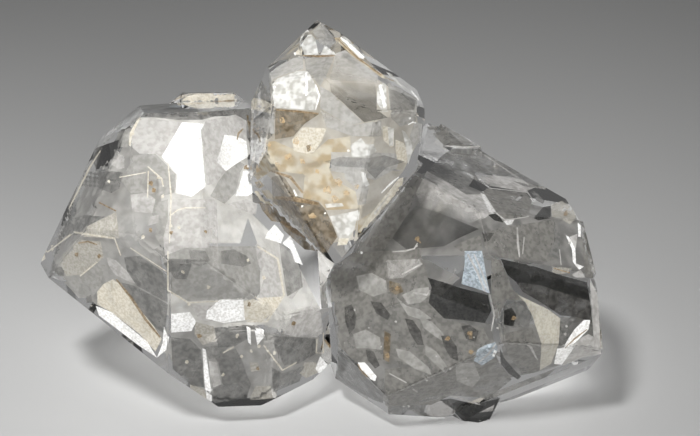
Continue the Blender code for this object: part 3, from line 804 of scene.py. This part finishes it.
RIGHT_BEIGE = {
    "facet": [(10.7, -4.9), (12.6, -5.8), (13.4, -6.4), (13.3, -8.0), (12.8, -9.3), (12.1, -9.7),
              (12.2, -8.0), (11.6, -6.2), (11.2, -5.4)],
    "gold_strip": [(12.9, -3.1, 0.5), (14.2, -3.2, 0.5), (13.6, -3.6, 0.5), (12.9, -3.5, 0.5)],
    "knob": [(12.8, 0.8, 0.6), (13.5, 1.1, 0.6), (14.2, 0.6, 0.6), (14.4, 0.0, 0.6), (14.0, -0.4, 0.6),
             (13.5, -0.1, 0.6), (12.9, 0.0, 0.6)],
}
RIGHT_LOBES = {
    "upper_left": [(0.4, -3.7), (1.4, -3.5), (2.3, -4.0), (2.4, -4.7), (1.5, -5.0), (0.6, -4.6)],
    "shell": [(3.3, -4.9), (4.2, -4.5), (5.0, -4.4), (5.1, -4.9), (4.5, -5.4), (3.7, -5.5)],
    "shell_under": [(2.9, -5.0), (3.6, -5.6), (4.4, -5.8), (5.2, -6.4), (4.6, -6.5), (3.7, -6.2)],
    "long": [(4.4, -6.3), (5.2, -6.6), (5.9, -7.3), (6.2, -8.0), (5.5, -7.6), (4.7, -7.0)],
    "low_left": [(0.2, -7.4), (1.0, -7.1), (1.9, -7.6), (2.0, -8.4), (1.2, -8.3), (0.4, -8.3)],
    "foot": [(2.9, -8.3), (3.8, -8.5), (5.0, -9.5), (5.2, -10.0), (4.1, -9.6), (3.1, -8.9)],
    "under_patch": [(4.8, -8.1), (5.5, -8.5), (6.3, -9.6), (6.1, -9.9), (5.3, -9.2), (4.8, -8.7)],
    "low_right": [(6.7, -9.3), (7.9, -9.2), (8.3, -10.2), (7.8, -10.8), (6.8, -10.4)],
}
RIGHT_SHADE = {
    "smudge_a": [(-0.35, -5.7), (0.1, -5.5), (0.4, -6.2), (0.3, -7.0), (-0.05, -7.4), (-0.3, -6.6)],
    "smudge_b": [(3.5, -6.4), (4.0, -6.5), (4.5, -7.2), (4.7, -8.1), (4.3, -8.1), (3.8, -7.3)],
    "smudge_c": [(5.8, -7.5), (6.3, -7.5), (6.8, -8.2), (6.9, -9.1), (6.4, -8.9), (6.0, -8.2)],
    "smudge_d": [(1.0, -8.4), (1.5, -8.5), (1.9, -9.4), (1.6, -9.6), (1.1, -9.0)],
    "smudge_e": [(1.3, -5.3), (2.0, -5.4), (2.6, -6.2), (2.4, -6.5), (1.7, -6.1)],
    "smudge_f": [(7.1, -6.9), (7.6, -6.8), (8.2, -7.2), (8.0, -7.9), (7.4, -7.7)],
    "fan_left": [(8.4, -0.9), (9.2, -0.95), (8.9, -1.4), (8.6, -1.6)],
    "band_under": [(10.6, -4.1), (12.2, -4.3), (14.0, -4.9), (15.3, -5.3), (15.4, -6.6), (14.4, -6.3),
                   (13.4, -6.2), (12.2, -5.4), (11.0, -4.7)],
}
RIGHT_BLUE = {
    "fan": [(7.3, -2.1), (8.4, -2.1), (8.9, -4.8), (8.4, -4.6), (7.1, -4.2), (7.3, -3.0)],
    "low_fan": [(7.9, -9.1), (8.1, -8.4), (8.6, -8.1), (9.3, -7.9), (9.4, -8.4), (9.2, -8.9), (8.4, -9.4)],
}
RIGHT_GREY = {
    "crown": [(4.9, 5.8), (5.9, 6.0), (6.6, 5.7), (8.0, 4.6), (6.0, 4.6), (5.6, 5.0)],
    "inset": [(8.5, 1.7), (8.9, 2.0), (9.1, 1.8), (11.2, 1.6), (11.6, 1.1), (11.4, 0.3), (10.6, -0.1),
              (9.7, 0.0), (9.2, 0.5), (8.8, 1.2)],
    "striated": [(9.6, -0.6), (13.0, -0.1), (13.2, -2.6), (12.5, -2.8), (9.6, -2.5), (8.8, -1.8),
                 (8.5, -1.0)],
    "fan_head": [(6.6, -1.8), (7.4, -1.4), (8.3, -1.1), (8.45, -2.0), (7.2, -2.2)],
    "right_edge": [(15.0, -0.6), (15.4, -1.5), (15.5, -3.8), (15.0, -3.8), (14.8, -1.5)],
    "left_band": [(3.3, 2.2), (4.2, 2.0), (4.0, 1.0), (3.4, -0.2), (2.8, -1.0), (2.2, -2.0), (1.0, -1.8),
                  (2.2, 0.2)],
    "cloud_high": [(0.2, -2.2), (4.4, -2.0), (5.0, -3.7), (5.1, -5.4), (2.4, -6.0), (-1.4, -6.0),
                   (-1.5, -3.4)],
    "cloud_mid": [(-1.4, -6.0), (2.4, -6.0), (5.1, -5.4), (6.0, -6.4), (8.5, -7.0), (9.4, -9.0), (5.0, -9.4),
                  (0.4, -9.2), (-0.9, -8.0)],
    "cloud_low": [(2.2, -9.6), (5.0, -9.4), (9.4, -9.0), (10.3, -10.3), (8.8, -11.5), (6.4, -11.3),
                  (5.2, -11.9), (2.3, -12.0)],
    "core": [(9.0, -2.6), (9.6, -2.7), (10.4, -4.6), (11.2, -5.3), (10.0, -5.2), (9.3, -6.5), (9.0, -5.0)],
    "olive": [(9.6, -7.4), (11.6, -7.0), (12.1, -8.2), (12.1, -9.7), (11.0, -10.0), (10.0, -8.6)],
}
# Mostly painted dark reflections of the room, as on the top face.
RIGHT_DARK = {
    "top_face": [(5.1, 3.2), (5.9, 4.0), (6.5, 4.4), (8.5, 4.4), (9.5, 3.9), (11.0, 2.9), (10.0, 2.7),
                 (8.0, 2.9), (7.8, 2.4), (7.3, 1.6), (6.2, 2.3)],
    "sliver_a": [(10.4, 2.35), (11.9, 2.05), (12.0, 2.0), (11.6, 1.95), (11.0, 2.05)],
    "sliver_b": [(11.5, 1.7), (11.8, 1.7), (12.4, 1.1), (12.3, 0.9), (11.9, 1.1)],
    "striated_right": [(13.0, -0.2), (13.4, -1.0), (13.3, -2.6), (12.6, -2.4), (13.0, -1.5)],
    "olive_round": [(9.8, -5.6), (10.7, -5.3), (11.6, -6.0), (11.4, -6.9), (10.4, -7.0), (9.7, -6.7)],
    "blue_patch": [(13.4, -6.3), (14.4, -6.4), (13.9, -7.0), (14.1, -7.6), (13.6, -8.2), (13.3, -8.1)],
    "low_left": [(-0.9, -8.2), (0.4, -9.2), (1.6, -10.4), (2.2, -10.2), (2.1, -11.8), (1.5, -11.6),
                 (-0.5, -10.5), (-0.8, -9.4)],
}
# Painted black reflections of the dark room on the right crystal's faces.
RIGHT_BLACK_REFLECTIONS = {
    "left_wing": [(4.2, 0.8, 0.3), (5.8, 0.3, 0.4), (8.2, -0.7, 0.9), (6.9, -1.3, 0.8), (6.0, -1.8, 0.6),
                  (3.6, -2.0, 0.6), (2.7, -1.3, 0.6), (3.5, 0.0, 0.5)],
    "wedge": [(8.8, 0.2), (9.4, 0.3), (9.8, -0.3), (9.2, -0.15)],
    "knob_side": [(11.7, 0.0), (12.3, 0.7), (12.8, 0.8), (12.8, 0.0), (12.0, -0.15)],
    "band": [(9.6, -2.6), (11.8, -3.1), (13.3, -3.6), (15.1, -4.1), (15.3, -5.3), (14.0, -4.9), (12.2, -4.3),
             (10.6, -4.1), (10.0, -3.6)],
    "patch": [(4.95, -3.8), (6.0, -4.1), (7.2, -4.5), (8.8, -4.9), (9.0, -5.9), (8.6, -6.7), (7.2, -6.5),
              (6.0, -6.4), (5.0, -5.4), (5.2, -4.4)],
    "diagonal": [(9.55, -8.3), (9.8, -8.9), (10.4, -9.6), (10.9, -10.1), (10.7, -10.3), (10.1, -9.9),
                 (9.6, -9.3)],
    "tip": [(5.7, -11.6), (6.4, -11.5), (8.6, -12.0), (8.2, -12.4), (7.5, -12.8)],
    "round": [(9.8, -5.9), (10.3, -5.7), (10.6, -6.2), (10.4, -6.9), (9.8, -6.8)],
}
RIGHT_BROWN = {
    "spot_a": [(2.5, -4.0), (3.2, -4.2), (3.4, -4.7), (2.9, -4.9), (2.5, -4.6)],
    "spot_b": [(2.2, -7.2), (2.6, -7.4), (2.5, -9.2), (2.1, -9.0)],
    "spot_c": [(7.5, -7.2), (7.8, -7.2), (7.8, -7.7), (7.6, -7.7)],
}

blue_frost = sheet_material("blue_frost", (0.38, 0.43, 0.47), (0.20, 0.235, 0.26), patchy=0.3)
beige_film = sheet_material("beige_film", (0.42, 0.40, 0.35), (0.34, 0.32, 0.265), patchy=0.2)
right_film = sheet_material("right_film", (0.15, 0.145, 0.133), (0.10, 0.097, 0.088), patchy=0.3,
                            grain_scale=FILM_GRAIN)
shade_film = sheet_material("shade_film", (0.06, 0.058, 0.054), (0.03, 0.029, 0.027), patchy=0.3,
                            grain_scale=FILM_GRAIN)
# Black sheets that paint reflections of the dark room.
black_reflection = sheet_material("black_reflection", (0.02, 0.02, 0.018), (0.01, 0.01, 0.01), patchy=0.15)
add_sheets("right_lobes", grey_film, RIGHT_LOBES.values(), PALE_DEPTH, soft=0.5)
add_sheets("right_shade", shade_film, RIGHT_SHADE.values(), SHADE_DEPTH, soft=0.35)
add_sheets("right_painted_highlights", frost_and_painted_highlights, RIGHT_PAINTED_HIGHLIGHTS.values(), HIGHLIGHT_DEPTH, soft=0.12)
add_sheets("right_pale_veils_and_painted_light", pale_veil_and_painted_light, RIGHT_PALE.values(), PALE_DEPTH, soft=0.4)
add_sheets("right_beige_veils", beige_film, RIGHT_BEIGE.values(), BEIGE_DEPTH, soft=0.2)
add_sheets("right_blue_fans", blue_frost, RIGHT_BLUE.values(), BLUE_DEPTH, soft=0.25)
add_sheets("right_grey_veils", right_film, RIGHT_GREY.values(), GREY_DEPTH, soft=0.5)
add_sheets("right_dark_reflections", dark_film_and_reflection, RIGHT_DARK.values(), DARK_DEPTH, soft=0.35)
add_sheets("right_black_reflections", black_reflection, RIGHT_BLACK_REFLECTIONS.values(), BLACK_REFLECTION_DEPTH, soft=0.25)
add_sheets("right_brown_clots", brown_stain, RIGHT_BROWN.values(), SPOT_DEPTH, soft=0.2)


# The clouds, cracks and specks of the right crystal. The threads in its fan run down from the left, and a
# few painted glints sit along its lower edges. Some bright threads are painted highlights along the top
# face's edges.
RIGHT_CLOUD = [
    [(3.2, 2.4), (5.2, 3.0), (8.6, 1.6), (14.4, 0.2), (15.4, -3.6), (12.4, -3.0), (8.8, -2.4), (4.0, -2.4),
     (0.4, -2.4)],
    [(-1.2, -3.4), (4.8, -2.6), (7.0, -3.8), (5.2, -5.6), (9.0, -6.8), (9.4, -9.2), (6.4, -11.2),
     (2.4, -11.8), (0.2, -9.6), (-1.2, -7.6)],
    [(9.4, -6.6), (12.0, -6.8), (13.4, -6.6), (15.6, -6.8), (15.7, -8.6), (12.0, -9.8), (10.0, -10.2)],
]
RIGHT_THREADS = [
    ([(2.7, -2.15), (3.5, -2.1), (4.1, -1.95), (4.3, -1.6)], 0.1),
    ([(2.5, -9.9), (3.6, -10.5)], 0.12),
    ([(4.0, -10.9), (4.3, -11.1)], 0.14),
    ([(6.4, -11.35), (6.9, -11.45), (8.3, -11.9)], 0.1),
    ([(13.35, -2.0), (13.45, -3.0)], 0.1),
    ([(6.0, 4.6), (7.2, 4.5), (8.5, 4.55)], 0.1),
    ([(8.3, 4.2), (10.2, 2.9), (11.4, 2.1)], 0.08),
    ([(10.65, -0.6), (10.7, -1.6), (10.8, -2.5)], 0.14),
    ([(11.1, -1.2), (11.0, -2.3)], 0.12),
    ([(9.2, 0.4), (9.9, -0.15), (11.4, 0.1)], 0.1),
    ([(8.9, 1.9), (11.3, 1.65), (11.7, 1.1)], 0.1),
    ([(8.9, -4.9), (9.2, -6.2), (9.0, -7.2)], 0.1),
    ([(4.0, -4.75), (4.9, -4.9), (5.1, -4.6)], 0.12),
    ([(3.3, -3.6), (4.6, -2.9)], 0.16),
    ([(7.5, -2.3), (8.1, -3.4), (8.6, -4.7)], 0.16),
    ([(7.9, -2.3), (8.4, -3.4), (8.8, -4.6)], 0.12),
    ([(8.2, -9.2), (8.8, -8.7), (9.3, -8.0)], 0.12),
]
RIGHT_RUST_THREADS = [
    ([(13.7, -8.3), (14.3, -7.7), (15.1, -7.1)], 0.1),
    ([(0.5, -9.3), (0.8, -9.9), (1.2, -10.2)], 0.1),
    ([(4.5, -1.6), (4.3, -1.3)], 0.12),
    ([(13.0, -3.2), (14.0, -3.5)], 0.12),
]
# Painted glints.
RIGHT_PAINTED_GLINTS = [
    (4.25, -1.8), (4.9, -10.35), (3.4, -12.0), (3.75, -12.0), (0.3, -5.85), (-0.35, -7.95), (2.9, -6.6),
    (5.5, -8.8), (9.4, -7.0), (9.55, -9.2), (9.2, -8.65), (13.8, -6.9), (13.7, -7.4), (15.9, -7.9),
    (6.2, -3.2), (6.7, -3.3), (14.0, -1.6), (7.4, -10.2), (6.4, -9.6), (2.0, -8.2), (1.2, -7.0),
    (7.9, -7.6),
]
RIGHT_RUST_SPECKS = [
    (2.35, -7.7), (7.65, -7.35), (4.3, -1.3), (6.2, -7.7), (7.7, -8.5), (3.0, -4.5), (10.4, -6.4),
    (13.75, 0.3), (2.4, -8.8),
]

right_cloud = sheet_material("right_cloud", (0.17, 0.165, 0.156), (0.10, 0.098, 0.092), patchy=0.25,
                             grain_scale=CLOUD_GRAIN)
right_threads_and_glints = [thread(places, width) for places, width in RIGHT_THREADS]
right_threads_and_glints += [speck(place, size=random.uniform(0.05, 0.11)) for place in RIGHT_PAINTED_GLINTS]
right_fine_rust = [thread(places, width) for places, width in RIGHT_RUST_THREADS]
right_fine_rust += [speck(place, size=0.18) for place in RIGHT_RUST_SPECKS]
add_sheets("right_clouds", right_cloud, RIGHT_CLOUD, CLOUD_DEPTH, soft=0.8)
add_sheets("right_bright_threads_and_glints", pale_veil_and_painted_light, right_threads_and_glints, THREAD_DEPTH, soft=0.05)
add_sheets("right_rust_threads", rust, right_fine_rust, THREAD_DEPTH, soft=0.05)
